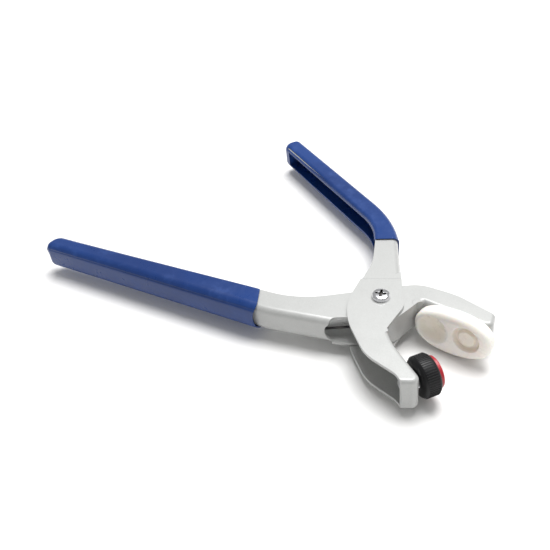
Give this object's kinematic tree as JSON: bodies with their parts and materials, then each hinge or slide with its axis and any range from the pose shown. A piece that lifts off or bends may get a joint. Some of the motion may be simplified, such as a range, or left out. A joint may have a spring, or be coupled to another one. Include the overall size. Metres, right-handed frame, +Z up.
{
  "type": "snap setter pliers",
  "caption": "Sprung pliers with folded sheet-metal levers, vinyl grips, a swivelling snap die with wells on one jaw and a screw-adjusted press knob on the other.",
  "frame": {"origin": "on the pivot axis, at the underside of the pivot nut", "axes": "+Z up along the pivot axis towards the screw head, with the pliers lying flat; +X from the pivot to the open jaws, halfway between the two press faces; handles towards -X"},
  "size_m": [0.2064, 0.1639, 0.0222],
  "materials": {
    "lever_paint": "satin light grey paint",
    "grip_vinyl": "dipped blue vinyl, half gloss",
    "chrome_fasteners": "bright plated",
    "plain_steel": "zinc plated, dull",
    "spring_steel": "dark oiled wire",
    "knob_plastic": "satin black moulding",
    "brass_inserts": "turned brass",
    "pad_rubber": "smooth red rubber",
    "die_nylon": "translucent natural nylon"
  },
  "bodies": {
    "die_lever": {"die_lever": "lever_paint", "die_lever_grip": "grip_vinyl", "pivot_bush": "plain_steel", "lower_pivot_washer": "plain_steel", "upper_pivot_washer": "plain_steel", "return_spring": "spring_steel", "die_screw": "plain_steel", "die_lock_washer": "plain_steel", "die_slip_washer": "plain_steel"},
    "die": {"die_block": "die_nylon", "die_insert": "brass_inserts"},
    "knob_lever": {"knob_lever": "lever_paint", "knob_lever_grip": "grip_vinyl", "pivot_screw": "chrome_fasteners", "pivot_nut": "chrome_fasteners", "stud": "plain_steel", "stud_back_washer": "plain_steel", "stud_back_nut": "plain_steel", "stud_jam_nut": "chrome_fasteners"},
    "knob": {"knob": "knob_plastic", "knob_insert": "brass_inserts", "press_pad": "pad_rubber"}
  },
  "joints": [
    {"name": "jaw_pivot", "type": "hinge", "parent": "die_lever", "child": "knob_lever", "pos_m": [0, 0, 0.01185], "axis": [0, 0, 1], "range_deg": [0, 28.3], "stiffness_Nm_per_rad": 0.9, "springref_deg": -51.57, "deforming": ["return_spring"]},
    {"name": "die_swivel", "type": "hinge", "parent": "die_lever", "child": "die", "pos_m": [0.02907, 0.01595, 0.01145], "axis": [0.2462, -0.9692, 0], "continuous": true},
    {"name": "knob_turn", "type": "hinge", "parent": "knob_lever", "child": "knob", "pos_m": [0.03886, -0.01761, 0.01185], "axis": [0.2462, 0.9692, 0], "continuous": true}
  ]
}
